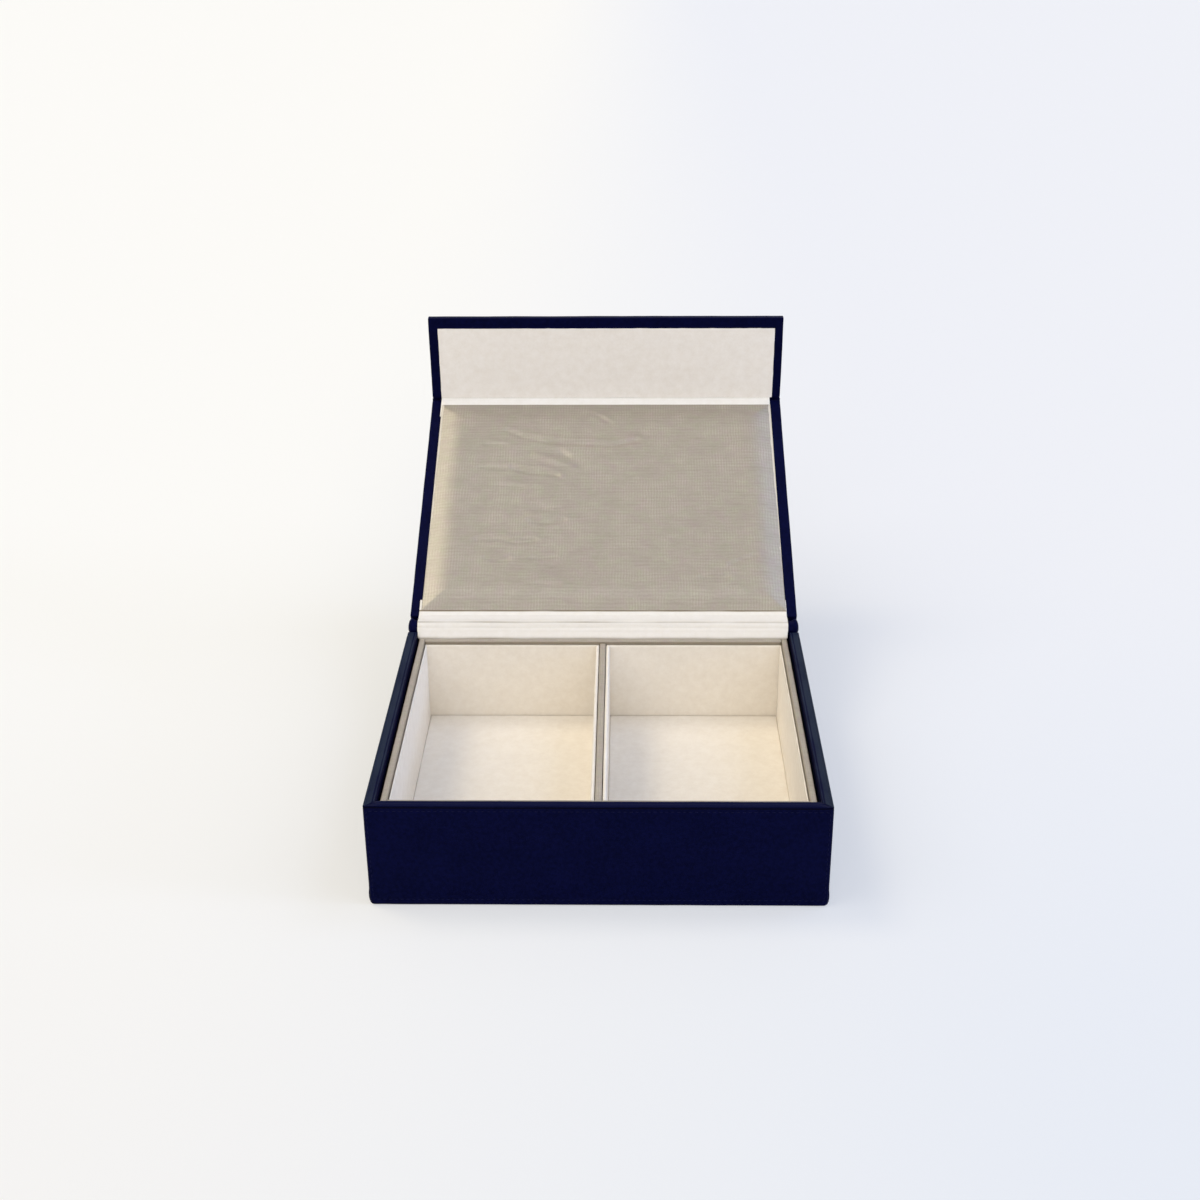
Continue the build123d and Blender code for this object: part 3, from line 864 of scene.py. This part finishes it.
def mottle(tree, place, size, detail, roughness=0.5):
    """Noise whose lumps are about one size across, in millimetres."""
    return add(tree, "ShaderNodeTexNoise", {
        "Vector": place, "Scale": 1 / size, "Detail": detail, "Roughness": roughness})


def relief(tree, height, depth, strength, **over):
    """Relief of a depth in millimetres, over another relief if one is given."""
    return add(tree, "ShaderNodeBump", {
        "Height": height, "Distance": depth * MM, "Strength": strength, **over})


def dyed(tree, pattern, low, high, dark, light, **how):
    """A colour that turns from dark to light as a pattern goes from low to high."""
    share = add(tree, "ShaderNodeMapRange",
                {"Value": pattern, "From Min": low, "From Max": high}, **how)
    return mixed(tree, share, dark, light)


def surfaced(material, colour, bumps):
    """The material with its colour and its relief laid on its shader."""
    tree = material.node_tree
    shader = tree.nodes["Principled BSDF"]
    tree.links.new(colour.outputs["Result"], shader.inputs["Base Color"])
    tree.links.new(bumps.outputs["Normal"], shader.inputs["Normal"])
    return material


def calf_leather(name, rim=None, painted_rim_reflection=""):
    """Calf leather, dyed navy and lightly buffed: nearly black face on. At and above a rim of the
    given height it is painted greyer, a painted reflection of the light it catches at a slant, with
    a line of painted shade in the seam below it. The pressed grain is 0.5 mm, drawn at 0.9 mm so
    that it shows."""
    material, tree, place = new_material(name, {
        "Roughness": 0.42, "Specular IOR Level": 0.025, "Sheen Weight": 0.01,
        "Sheen Roughness": 0.3, "Sheen Tint": "#C8D2E6"})
    hide = mottle(tree, place, 26.0, 3.0)
    dye = mottle(tree, place, 2.2, 3.0)
    tone = maths(tree, "MULTIPLY_ADD", hide, 0.5, dye)
    colour = dyed(tree, tone, 0.55, 0.95, "#010323", "#04072E")
    if rim:
        height = add(tree, "ShaderNodeSeparateXYZ", {"Vector": place}).outputs["Z"]
        # Painted reflection: the rim is painted greyer where it catches light at a slant
        colour = dyed(tree, height, rim - 0.12, rim + 0.05, colour, painted_rim_reflection, **SOFTLY)
        # Painted shade: a dark line in the seam's groove below the rim
        seam = maths(tree, "COMPARE", height, rim - RIM_SEAM - 0.45, 0.5)
        colour = mixed(tree, seam, colour, "#000016")
    pebbles = add(tree, "ShaderNodeTexVoronoi", {"Vector": place, "Scale": 1 / 0.9})
    coarse = relief(tree, pebbles, 0.12, 0.5)
    pores = mottle(tree, place, 0.45, 3.0)
    return surfaced(material, colour, relief(tree, pores, 0.08, 0.4, Normal=coarse))


def suede(name, light, dark, painted_shade_colour=""):
    """Suede: cream and without gloss, a short brushed nap of 0.2 mm fibres drawn as 0.5 mm tufts,
    with faint marks a few millimetres across where the nap lies another way. Where a piece carries
    painted shade, in folds and corners, it is darkened towards a painted shade colour."""
    material, tree, place = new_material(name, {
        "Roughness": 0.95, "Specular IOR Level": 0.1, "Sheen Weight": 0.06, "Sheen Roughness": 0.6})
    brushed = mottle(tree, place, 6.0, 7.0, 0.75)
    colour = dyed(tree, brushed, 0.25, 0.7, dark, light)
    # Painted shade, laid where the piece's marks say
    if painted_shade_colour:
        painted_shade = add(tree, "ShaderNodeAttribute", attribute_name="painted_shade").outputs["Fac"]
        colour = mixed(tree, painted_shade, colour, painted_shade_colour)
    lie = relief(tree, brushed, 0.3, 0.25)
    tufts = mottle(tree, place, 0.5, 4.0, 0.65)
    return surfaced(material, colour, relief(tree, tufts, 0.2, 0.5, Normal=lie))


def raw_silk(name, light, dark, turn, across, along, painted_shade_below=None):
    """Raw silk: taupe with a soft lustre on its raised parts, square-woven, with uneven thick
    threads across the box. Its 0.3 mm threads are drawn as ribs of the given spacings, so that
    they show, and they fade in and out from place to place. Low down, beside a liner, it can be
    darkened with painted shade."""
    material, tree, place = new_material(name, {
        "Roughness": 0.34, "Specular IOR Level": 1.0, "Sheen Weight": 0.1,
        "Sheen Roughness": 0.35, "Sheen Tint": "#FFF4E2"}, turn)
    warp, weft = (add(tree, "ShaderNodeTexWave", {
        "Vector": place, "Scale": 2 * pi / (20 * spacing), "Distortion": distortion,
        "Detail": 4.0, "Detail Scale": detail, "Detail Roughness": 0.7,
    }, bands_direction=axis).outputs["Fac"] for spacing, distortion, detail, axis in (
        (across, 4.5, 0.35, "X"), (along, 5.0, 0.3, "Y")))
    here = mottle(tree, place, 13.0, 3.0)
    shown = add(tree, "ShaderNodeMapRange", {"Value": here, "From Min": 0.35, "From Max": 0.7})
    ribs = maths(tree, "MULTIPLY_ADD", weft, 0.35, maths(tree, "MULTIPLY", warp, shown))
    lengthwise = add(tree, "ShaderNodeMapping", {"Vector": place, "Scale": (0.07, 0.75, 0.3)})
    slubs = mottle(tree, lengthwise, 1.0, 5.0, 0.6)
    fuzz = mottle(tree, place, 1.3, 4.0, 0.7)
    threads = maths(tree, "MULTIPLY_ADD", slubs, 1.8, ribs)
    cloth = maths(tree, "MULTIPLY_ADD", fuzz, 1.6, threads)
    woven = dyed(tree, cloth, 1.2, 3.4, dark, light)
    hue = mottle(tree, place, 8.0, 4.0, 0.75)
    tint = dyed(tree, hue, 0.3, 0.7, "#FFF0FC", "#F7FFEE")
    colour = mixed(tree, 0.7, woven, tint, blend_type="MULTIPLY")
    # Painted shade on the silk's face above a liner, where it lies in shade
    if painted_shade_below:
        height = add(tree, "ShaderNodeSeparateXYZ", {"Vector": place}).outputs["Z"]
        low = add(tree, "ShaderNodeMapRange", {
            "Value": height, "From Min": painted_shade_below + 0.3, "From Max": painted_shade_below - 0.3}, **SOFTLY)
        colour = mixed(tree, maths(tree, "MULTIPLY", low, 0.6), colour, "#746853")
    return surfaced(material, colour, relief(tree, cloth, 0.1, 0.3))


def plain_stock(name, code, finish, grain):
    """Stock that is mostly hidden, such as board, or fine, such as thread: one colour with a grain
    of its own in millimetres."""
    material, tree, place = new_material(name, finish)
    fibres = mottle(tree, place, grain, 3.0)
    darker = (*(0.8 * part for part in linear(code)[:3]), 1.0)
    colour = mixed(tree, fibres, darker, code)
    return surfaced(material, colour, relief(tree, fibres, 0.05, 0.4))


leather = calf_leather("navy_calf_leather")
# The rims' lighter colours are painted reflection
side_leather = calf_leather("navy_calf_leather_painted_reflection_side_rims", RIM, "#222A3B")
front_leather = calf_leather("navy_calf_leather_painted_reflection_front_rim", FRONT_RIM, "#0B0F30")
lining_suede = suede("cream_lining_suede", "#F0EBE4", "#E5DED4")
# The strip's dark colour is painted shade for its folds and the pad's shadow
strip_suede = suede("pale_hinge_suede", "#EAE6DF", "#E2DDD3", painted_shade_colour="#8A7C67")
# A lighter copy of the lining suede, painted light for the fold strip
fold_suede_painted_lighter = suede("fold_suede_painted_lighter", "#F1EEE8", "#E9E5DC")
# The wells' dark colour is painted shade for their back corners
well_suede = suede("cream_well_suede", "#F0EADF", "#E5DDD0", painted_shade_colour="#A0907A")
pad_silk = raw_silk("taupe_pad_silk", "#AAA292", "#877F71", LEAN, 1.95, 2.9)
divider_silk = raw_silk("taupe_divider_silk", "#B7AE9E", "#918879", 0.0, 1.2, 1.2)
# Painted shade on the tray silk below 63.95 mm
tray_silk = raw_silk("taupe_tray_silk", "#B0A797", "#8A8172", 0.0, 1.2, 1.2, painted_shade_below=63.95)
# Waxed polyester thread, a shade lighter than the leather and a little glossier
thread = plain_stock("navy_thread", "#080B33", {"Roughness": 0.5, "Specular IOR Level": 0.07}, 0.3)

by_slot = {
    "leather": leather, "lining_suede": lining_suede, "well_suede": well_suede,
    "tray_silk": tray_silk, "pad_silk": pad_silk,
    # Grey and cream card from pulp: dull, with fibres about 1 mm long
    "board": plain_stock("greyboard", "#8E8A84", {"Roughness": 0.9}, 1.5),
    "card": plain_stock("cream_card", "#D8D0C0", {"Roughness": 0.85}, 1.0),
    # Open foam with small cells
    "foam": plain_stock("polyurethane_foam", "#E6E0CC", {"Roughness": 0.95}, 0.6),
    # Twisted cotton, and a plain cotton sheet
    "cord": plain_stock("cotton_cord", "#DAD2C2", {"Roughness": 0.95}, 0.8),
    "base_cloth": plain_stock("navy_book_cloth", "#15172E", {"Roughness": 0.9}, 0.7),
    # Nickel-plated magnets, faintly scratched
    "magnet": plain_stock("nickel_plate", "#BFC0C4", {"Roughness": 0.3, "Metallic": 1.0}, 1.0),
}
for part in frame["record"]["subparts"]:
    for holder in frame["nodes"][part["node"]].material_slots:
        holder.material = by_slot[part["material_slot"]]


# Stitches

PANEL_SEWN_IN = 3.0
# A row on the case reaches a little into its corners. It ends before the notch of a side wall,
# and stays below the bead at the back
INTO_CORNER = 0.35
BEFORE_NOTCH = 8.5
BELOW_BEAD = 4.5


def stitching_nodes():
    """Geometry Nodes that sew a row of stitches along a line, on the skin below it."""
    tree = bpy.data.node_groups.new("sewn_line", "GeometryNodeTree")
    for name, kind, value in (
        ("Line", "NodeSocketGeometry", None), ("Skin", "NodeSocketObject", None),
        ("Thread", "NodeSocketMaterial", None), ("Facing", "NodeSocketVector", (0, 0, 1)),
        ("Spacing", "NodeSocketFloat", 3.3 * MM), ("Length", "NodeSocketFloat", 2.4 * MM),
        ("Width", "NodeSocketFloat", 0.5 * MM), ("Height", "NodeSocketFloat", 0.3 * MM),
        ("Unevenness", "NodeSocketFloat", 0.12), ("Seed", "NodeSocketInt", 1),
    ):
        socket = tree.interface.new_socket(name, in_out="INPUT", socket_type=kind)
        if value is not None:
            socket.default_value = value
    tree.interface.new_socket("Stitches", in_out="OUTPUT", socket_type="NodeSocketGeometry")
    given = add(tree, "NodeGroupInput").outputs
    line = add(tree, "GeometryNodeMeshToCurve", {"Mesh": given["Line"]})
    marks = add(tree, "GeometryNodeResampleCurve", {"Curve": line, "Length": given["Spacing"]},
                mode="LENGTH")
    skin = add(tree, "GeometryNodeObjectInfo", {"Object": given["Skin"]}).outputs["Geometry"]
    here = add(tree, "GeometryNodeInputPosition")
    nearest = add(tree, "GeometryNodeSampleNearestSurface", {"Mesh": skin, "Value": here},
                  data_type="FLOAT_VECTOR")
    laid = add(tree, "GeometryNodeSetPosition", {"Geometry": marks, "Position": nearest})
    points = add(tree, "GeometryNodeCurveToPoints", {"Curve": laid}, mode="EVALUATED")
    run = add(tree, "FunctionNodeAlignRotationToVector", {"Vector": points.outputs["Tangent"]},
              axis="X")
    turned = add(tree, "FunctionNodeAlignRotationToVector",
                 {"Rotation": run, "Vector": given["Facing"]}, axis="Z", pivot_axis="X")
    size = add(tree, "ShaderNodeCombineXYZ",
               {"X": given["Length"], "Y": given["Width"], "Z": given["Height"]})
    least = maths(tree, "SUBTRACT", 1.0, given["Unevenness"])
    uneven = add(tree, "FunctionNodeRandomValue", {"Min": least, "Max": 1.0, "Seed": given["Seed"]},
                 data_type="FLOAT")
    own_size = add(tree, "ShaderNodeVectorMath", {0: size, "Scale": uneven}, operation="SCALE")
    stitch = add(tree, "GeometryNodeMeshUVSphere", {"Segments": 8, "Rings": 5, "Radius": 0.5})
    smooth = add(tree, "GeometryNodeSetShadeSmooth", {"Geometry": stitch})
    sewn = add(tree, "GeometryNodeInstanceOnPoints", {
        "Points": points, "Instance": smooth, "Rotation": turned, "Scale": own_size})
    real = add(tree, "GeometryNodeRealizeInstances", {"Geometry": sewn})
    finished = add(tree, "GeometryNodeSetMaterial", {"Geometry": real, "Material": given["Thread"]})
    add(tree, "NodeGroupOutput", {"Stitches": finished})
    return tree


def sew(name, tree, skin, corners, place, seed):
    """A closed line of stitches through a flat panel's four corners, laid on its leather."""
    corners = [place @ Vector(corner) * MM for corner in corners]
    mesh = bpy.data.meshes.new("sewing_line")
    mesh.from_pydata(corners, [(0, 1), (1, 2), (2, 3), (3, 0)], [])
    line = in_scene(name, mesh)
    facing = (corners[1] - corners[0]).cross(corners[2] - corners[1]).normalized()
    sewing = line.modifiers.new("sewing", "NODES")
    sewing.node_group = tree
    values = {"Skin": skin, "Thread": thread, "Facing": tuple(facing), "Seed": seed}
    for socket in tree.interface.items_tree:
        if socket.name in values:
            sewing[socket.identifier] = values[socket.name]
    keep_result(line)
    return line


stitching = stitching_nodes()
low, high = CASE_BOTTOM + SEWN_ABOVE_BOTTOM, RIM - SEWN_BELOW_RIM
case_rows = []
for number, (skin, turn, half_run, half_across) in enumerate((
    (front_skin, 0, HALF_WIDTH, HALF_DEPTH), (right_skin, 90, HALF_DEPTH, HALF_WIDTH),
    (back_skin, 180, HALF_WIDTH, HALF_DEPTH), (left_skin, -90, HALF_DEPTH, HALF_WIDTH),
)):
    end = half_run - SEWN_IN + INTO_CORNER
    right, left = (end - BEFORE_NOTCH if turn == notched else end for notched in (90, -90))
    top = high - BELOW_BEAD if turn == 180 else high
    case_rows.append(sew("case_row", stitching, skin, [
        (-left, -half_across, low), (right, -half_across, low),
        (right, -half_across, top), (-left, -half_across, top),
    ], Matrix.Rotation(radians(turn), 4, "Z"), number))
case_stitches = join("case_stitches", case_rows)


def sew_panel(name, skin, start, end, back, place, seed):
    """A line of stitches round the back of the lid or the flap."""
    side, near, far = HALF_WIDTH - PANEL_SEWN_IN, start + PANEL_SEWN_IN, end - PANEL_SEWN_IN
    corners = [(-side, far, back), (side, far, back), (side, near, back), (-side, near, back)]
    return sew(name, stitching, skin, corners, place, seed)


lid_stitches = sew_panel("lid_stitches", lid_skin, LID_START, LID_END, -PANEL, lid_place, 11)
flap_stitches = sew_panel(
    "flap_stitches", flap_skin, BOARD_TO_AXIS, FLAP_REACH, -PANEL / 2, flap_place, 12)


# Bodies

# Each piece with its material and slot, the body it rides on, and the CAD nodes it stands for
finished = [
    (front_skin, front_leather, "leather", "base", "front_leather"),
    (left_skin, side_leather, "leather", "base", "left_leather"),
    (right_skin, side_leather, "leather", "base", "right_leather"),
    (back_skin, leather, "leather", "base", "back_leather"),
    (case_stitches, thread, "leather", "base"),
    (lid_skin, leather, "leather", "lid", "lid_leather"),
    (lid_stitches, thread, "leather", "lid"),
    (flap_skin, leather, "leather", "flap", "flap_leather"),
    (flap_stitches, thread, "leather", "flap"),
    (flap_suede, lining_suede, "lining_suede", "flap", "flap_lining"),
    (pad, pad_silk, "pad_silk", "lid", "pad_cover", "pad_foam"),
    (lid_hinge_suede, strip_suede, "lining_suede", None, "lid_hinge_lining"),
    (flap_hinge_suede, fold_suede_painted_lighter, "lining_suede", None, "flap_hinge_lining"),
    (lid_hinge_web, leather, "leather", None, "lid_hinge_leather"),
    (flap_hinge_web, leather, "leather", None, "flap_hinge_leather"),
]
for node, piece in soft.items():
    material, slot = well_suede, "well_suede"
    if node.endswith("_silk"):
        material, slot = divider_silk if "divider" in node else tray_silk, "tray_silk"
    finished.append((piece, material, slot, "base", node))
for piece, material, slot, body, *stands_for in finished:
    piece.data.materials.clear()
    piece.data.materials.append(material)
    if body:
        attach(piece, body)
    if stands_for:
        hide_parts(*stands_for)


# Each strip and web, the bodies on either side of its hinge, its hinge's place, and where it
# starts and ends to bend, as points of a side view of its hinge. Only its place is baked into its
# mesh
for piece, bodies, place, *bend in (
    (lid_hinge_suede, ("base", "lid"), hinge_place, (-8.6, 0), (4.0, 0)),
    (lid_hinge_web, ("base", "lid"), hinge_place, (4.6, 0), (6.0, 0)),
    (flap_hinge_web, ("lid", "flap"), flap_axis_place, (0, -WEB_RADIUS), web_tangent),
    (flap_hinge_suede, ("lid", "flap"), flap_axis_place,
     (fold[0] - 0.6, STRIP_OFFSET), (fold[0] + 0.3, STRIP_OFFSET)),
):
    start, end = (tuple(MM * part for part in place @ Vector((0, y, z))) for y, z in bend)
    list(bodies)
    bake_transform(piece)
    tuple(start)
    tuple(end)


# Camera, floor and light

SKY_LIGHT = 0.36
CAMERA_PLACE = (0.0161, -0.84375, 0.5663)
CAMERA_PITCH, CAMERA_YAW, CAMERA_ROLL = (radians(angle) for angle in (26.77, -1.09, -0.44))
FLOOR_REACH = 9.0


def photograph_camera():
    """A camera where the photograph's was, with a 48 mm lens."""
    level, steep = cos(CAMERA_PITCH), sin(CAMERA_PITCH)
    forward = Vector((sin(CAMERA_YAW) * level, cos(CAMERA_YAW) * level, -steep))
    level_right = Vector((cos(CAMERA_YAW), -sin(CAMERA_YAW), 0))
    level_up = level_right.cross(forward)
    c, s = cos(CAMERA_ROLL), sin(CAMERA_ROLL)
    turned = Matrix((c * level_right + s * level_up, c * level_up - s * level_right, -forward))
    lens = bpy.data.cameras.new("camera")
    lens.lens, lens.sensor_width = 48.0, 36.0
    camera = in_scene("camera", lens)
    camera.matrix_world = Matrix.Translation(CAMERA_PLACE) @ turned.transposed().to_4x4()
    bpy.context.scene.camera = camera


def seen_directly(tree, share):
    """A share for what the camera sees, directly or in gloss or through glass, and 0 for other
    light."""
    ray = add(tree, "ShaderNodeLightPath").outputs
    seen = ray["Is Camera Ray"]
    for other in ("Is Glossy Ray", "Is Transmission Ray"):
        seen = maths(tree, "MAXIMUM", seen, ray[other])
    return maths(tree, "MULTIPLY", seen, share)


def paper_floor():
    """A sheet of matt white paper with painted light on it: warmer on the left and cooler and
    darker on the right, from painted window light, and painted shade darker in front. Half of what
    the camera sees of it is its plain colour, so that it looks white and keeps the shadow."""
    mesh = bpy.data.meshes.new("floor")
    mesh.from_pydata([(x * FLOOR_REACH, y * FLOOR_REACH, 0)
                      for x, y in ((-1, -1), (1, -1), (1, 1), (-1, 1))], [], [(0, 1, 2, 3)])
    floor = in_scene("floor", mesh)
    paper, tree, place = new_material(
        "white_matt_paper", {"Roughness": 0.9, "Specular IOR Level": 0.1})
    parts = add(tree, "ShaderNodeSeparateXYZ", {"Vector": place}).outputs
    # Painted light and shade: warm on the left, cool and darker on the right, darker in front
    in_front, behind = (dyed(tree, parts["X"], -320.0, 320.0, warm, cool, **SOFTLY)
                        for warm, cool in (("#F1F0ED", "#E3E8F0"), ("#F8F7F2", "#EBEDF2")))
    colour = dyed(tree, parts["Y"], -450.0, 450.0, in_front, behind, **SOFTLY)
    shader = tree.nodes["Principled BSDF"]
    tree.links.new(colour.outputs["Result"], shader.inputs["Base Color"])
    plain = add(tree, "ShaderNodeEmission", {"Color": colour, "Strength": 1.0})
    shown = add(tree, "ShaderNodeMixShader", {0: seen_directly(tree, 0.5), 1: shader, 2: plain})
    tree.links.new(shown.outputs["Shader"], tree.nodes["Material Output"].inputs["Surface"])
    floor.data.materials.append(paper)


def studio_sky():
    """Even soft light from all round, which shows as white where the camera or a gloss sees it."""
    world = bpy.data.worlds.new("studio")
    bpy.context.scene.world = world
    world.use_nodes = True
    tree = world.node_tree
    strength = maths(tree, "ADD", seen_directly(tree, 1 - SKY_LIGHT), SKY_LIGHT)
    background = tree.nodes["Background"]
    background.inputs["Color"].default_value = linear("#F8F8FB")
    tree.links.new(strength.outputs["Value"], background.inputs["Strength"])


photograph_camera()
paper_floor()
studio_sky()
# Soft, even lights: direction towards each, strength, spread in degrees and tint. The windows are
# large and soft. The weak lamps are high up: the silk shines in them along the pad's sloping edges
# and over its creases
for name, towards, strength, spread, tint in (
    ("warm_left_window", (-0.62, -0.1, 0.78), 0.9, 48, "#FFF6E8"),
    ("cool_right_window", (0.70, -0.06, 0.71), 0.75, 48, "#C4D7FF"),
    ("low_right_window", (0.95, -0.1, 0.27), 0.75, 14, "#BCD2FF"),
    ("front_window", (0.0, -0.88, 0.475), 1.15, 55, "#FFFBF6"),
    ("warm_side_lamp", (-0.46, 0.25, 0.85), 0.58, 18, "#FFEDC4"),
    ("cool_side_lamp", (0.46, 0.25, 0.85), 0.2, 18, "#A9C8FF"),
    ("top_lamp", (0.0, -0.02, 1.0), 0.12, 10, "#FFFDF8"),
):
    lamp = bpy.data.lights.new(name, "SUN")
    lamp.energy, lamp.angle, lamp.color = strength, radians(spread), linear(tint)[:3]
    in_scene(name, lamp).rotation_euler = Vector(towards).to_track_quat("Z", "Y").to_euler()
bpy.context.scene.view_settings.view_transform = "Standard"
